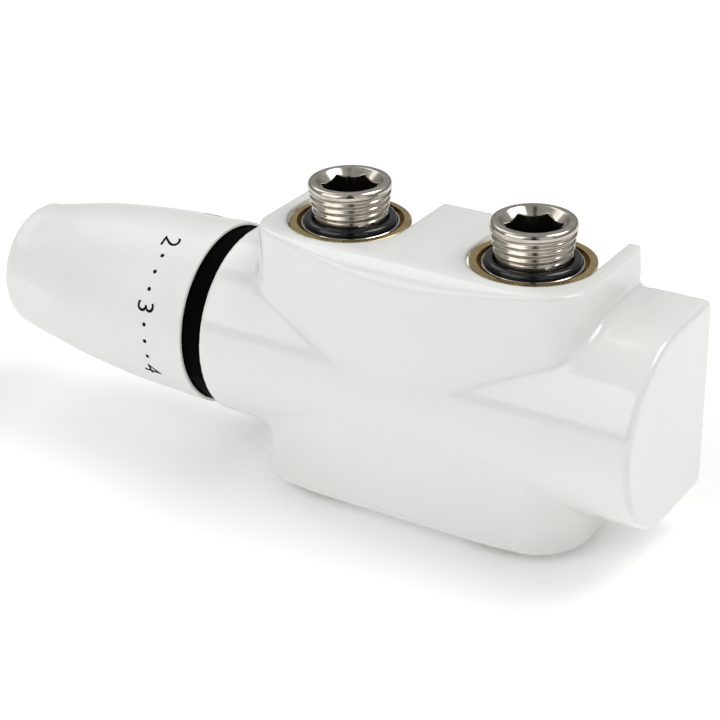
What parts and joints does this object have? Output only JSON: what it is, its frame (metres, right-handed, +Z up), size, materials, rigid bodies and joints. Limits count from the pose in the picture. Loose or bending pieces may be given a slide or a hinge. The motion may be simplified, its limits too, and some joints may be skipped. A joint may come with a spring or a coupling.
{
  "type": "thermostatic twin radiator valve",
  "caption": "Twin connection valve for a radiator's bottom ports: thermostatic head, one-piece cover, swivelling nipples and pipe tails.",
  "frame": {"origin": "midway between the two radiator nipples' axes, in the plane where the valve meets the radiator", "axes": "+Z up towards the radiator, along the nipples; +X along the valve axis away from the thermostatic head; -Y to the room, +Y to the wall"},
  "size_m": [0.1906, 0.0487, 0.0804],
  "materials": {
    "white_cover": "gloss",
    "white_handle": "satin gloss",
    "black_plastic": "matt",
    "grey_plastic": "matt",
    "nickel": "nickel plate",
    "raw_brass": "machined",
    "spring_steel": "drawn wire",
    "capsule_metal": "drawn shell",
    "rubber": "smooth"
  },
  "bodies": {
    "valve": {"valve_block": "raw_brass", "supply_snap_ring": "spring_steel", "return_snap_ring": "spring_steel", "insert_body": "nickel", "insert_cage": "raw_brass", "insert_oring": "rubber", "gland_nut": "raw_brass", "gland_oring": "rubber", "lockshield_body": "nickel", "lockshield_oring": "rubber", "lockshield_cage": "raw_brass", "lockshield_cap": "black_plastic", "union_nut": "nickel", "head_base": "grey_plastic", "head_collar": "black_plastic", "handle_snap_ring": "spring_steel", "return_spring": "spring_steel"},
    "cover": {"cover": "white_cover"},
    "supply_swivel": {"supply_nipple": "nickel", "supply_face_oring": "rubber", "supply_shank_oring": "rubber"},
    "return_swivel": {"return_nipple": "nickel", "return_face_oring": "rubber", "return_shank_oring": "rubber"},
    "handle": {"head_handle": "white_handle"},
    "sensor": {"sensor_carrier": "grey_plastic", "carrier_cap": "grey_plastic", "sensor_capsule": "capsule_metal", "push_pin": "grey_plastic", "overtravel_spring": "spring_steel"},
    "stem": {"valve_stem": "spring_steel", "disc_holder": "raw_brass", "disc_seal": "rubber"},
    "spindle": {"lockshield_spindle": "raw_brass", "spindle_oring": "rubber"},
    "cone": {"lockshield_cone": "raw_brass", "cone_seal": "rubber"}
  },
  "joints": [
    {"name": "handle_turn", "type": "hinge", "parent": "valve", "child": "handle", "pos_m": [-0.09, 0, -0.034], "axis": [-1, 0, 0], "range_deg": [-132, 96]},
    {"name": "sensor_travel", "type": "slide", "parent": "valve", "child": "sensor", "axis": [-1, 0, 0], "range_m": [-0.00147, 0.00107]},
    {"name": "stem_travel", "type": "slide", "parent": "valve", "child": "stem", "axis": [-1, 0, 0], "range_m": [-0.00148, 0.00108], "deforming": ["return_spring"]},
    {"name": "supply_nipple_turn", "type": "hinge", "parent": "valve", "child": "supply_swivel", "pos_m": [-0.025, 0, 0], "axis": [0, 0, 1], "continuous": true},
    {"name": "return_nipple_turn", "type": "hinge", "parent": "valve", "child": "return_swivel", "pos_m": [0.025, 0, 0], "axis": [0, 0, 1], "continuous": true},
    {"name": "lockshield_turn", "type": "hinge", "parent": "valve", "child": "spindle", "pos_m": [0.042, 0, -0.034], "axis": [1, 0, 0], "range_deg": [-690, 180]},
    {"name": "cone_travel", "type": "slide", "parent": "valve", "child": "cone", "axis": [1, 0, 0], "range_m": [-0.00287, 0.00075]},
    {"name": "cover_pull", "type": "slide", "parent": "valve", "child": "cover", "axis": [0, -1, 0], "range_m": [0, 0.06]}
  ],
  "couplings": [
    {"joint": "handle_turn", "follows": "sensor_travel", "rad_per_m": 1570.8},
    {"joint": "stem_travel", "follows": "sensor_travel", "ratio": 1},
    {"joint": "lockshield_turn", "follows": "cone_travel", "rad_per_m": 4188.8}
  ]
}
